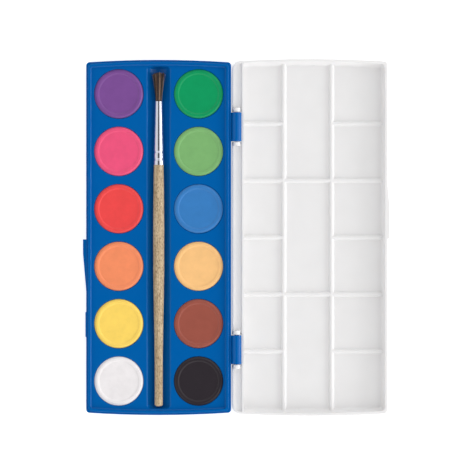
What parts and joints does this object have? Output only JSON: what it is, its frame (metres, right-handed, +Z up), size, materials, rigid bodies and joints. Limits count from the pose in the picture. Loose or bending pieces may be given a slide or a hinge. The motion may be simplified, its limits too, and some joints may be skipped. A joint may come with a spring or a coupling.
{
  "type": "watercolour paint set",
  "caption": "Hinged plastic watercolour box lying open: tray of round paint tablets with a brush in its trough, and a white lid with ribbed mixing wells.",
  "frame": {"origin": "on the table, midway along the hinge line and directly under its axis", "axes": "+Z up; +Y along the hinge line, towards the brush's hair end; +X from the tray towards the open lid"},
  "size_m": [0.1888, 0.2198, 0.0125],
  "materials": {
    "tray_blue": "moulded, satin-gloss blue",
    "lid_white": "moulded, satin milky white",
    "handle_wood": "turned raw pale wood",
    "ferrule_metal": "polished drawn tube",
    "brush_hair": "mixed dark brown natural hair",
    "paint_purple": "matt pressed paint cake",
    "paint_green": "matt pressed paint cake",
    "paint_pink": "matt pressed paint cake",
    "paint_light_green": "matt pressed paint cake",
    "paint_red": "matt pressed paint cake",
    "paint_blue": "matt pressed paint cake",
    "paint_orange": "matt pressed paint cake",
    "paint_peach": "matt pressed paint cake",
    "paint_yellow": "matt pressed paint cake",
    "paint_brown": "matt pressed paint cake",
    "paint_white": "matt pressed paint cake",
    "paint_black": "matt pressed paint cake"
  },
  "bodies": {
    "tray": {"tray": "tray_blue"},
    "lid": {"lid": "lid_white"},
    "brush": {"brush_handle": "handle_wood", "brush_ferrule": "ferrule_metal", "brush_bristles": "brush_hair"},
    "tablet_purple": {"paint_purple": "paint_purple"},
    "tablet_green": {"paint_green": "paint_green"},
    "tablet_pink": {"paint_pink": "paint_pink"},
    "tablet_light_green": {"paint_light_green": "paint_light_green"},
    "tablet_red": {"paint_red": "paint_red"},
    "tablet_blue": {"paint_blue": "paint_blue"},
    "tablet_orange": {"paint_orange": "paint_orange"},
    "tablet_peach": {"paint_peach": "paint_peach"},
    "tablet_yellow": {"paint_yellow": "paint_yellow"},
    "tablet_brown": {"paint_brown": "paint_brown"},
    "tablet_white": {"paint_white": "paint_white"},
    "tablet_black": {"paint_black": "paint_black"}
  },
  "joints": [
    {"name": "lid_hinge", "type": "hinge", "parent": "tray", "child": "lid", "pos_m": [0, 0, 0.009], "axis": [0, -1, 0], "range_deg": [0, 180]},
    {"name": "brush_lift", "type": "slide", "parent": "tray", "child": "brush", "axis": [0, 0, 1], "range_m": [0, 0.03]},
    {"name": "purple_tablet_lift", "type": "slide", "parent": "tray", "child": "tablet_purple", "axis": [0, 0, 1], "range_m": [0, 0.03]},
    {"name": "green_tablet_lift", "type": "slide", "parent": "tray", "child": "tablet_green", "axis": [0, 0, 1], "range_m": [0, 0.03]},
    {"name": "pink_tablet_lift", "type": "slide", "parent": "tray", "child": "tablet_pink", "axis": [0, 0, 1], "range_m": [0, 0.03]},
    {"name": "light_green_tablet_lift", "type": "slide", "parent": "tray", "child": "tablet_light_green", "axis": [0, 0, 1], "range_m": [0, 0.03]},
    {"name": "red_tablet_lift", "type": "slide", "parent": "tray", "child": "tablet_red", "axis": [0, 0, 1], "range_m": [0, 0.03]},
    {"name": "blue_tablet_lift", "type": "slide", "parent": "tray", "child": "tablet_blue", "axis": [0, 0, 1], "range_m": [0, 0.03]},
    {"name": "orange_tablet_lift", "type": "slide", "parent": "tray", "child": "tablet_orange", "axis": [0, 0, 1], "range_m": [0, 0.03]},
    {"name": "peach_tablet_lift", "type": "slide", "parent": "tray", "child": "tablet_peach", "axis": [0, 0, 1], "range_m": [0, 0.03]},
    {"name": "yellow_tablet_lift", "type": "slide", "parent": "tray", "child": "tablet_yellow", "axis": [0, 0, 1], "range_m": [0, 0.03]},
    {"name": "brown_tablet_lift", "type": "slide", "parent": "tray", "child": "tablet_brown", "axis": [0, 0, 1], "range_m": [0, 0.03]},
    {"name": "white_tablet_lift", "type": "slide", "parent": "tray", "child": "tablet_white", "axis": [0, 0, 1], "range_m": [0, 0.03]},
    {"name": "black_tablet_lift", "type": "slide", "parent": "tray", "child": "tablet_black", "axis": [0, 0, 1], "range_m": [0, 0.03]}
  ]
}
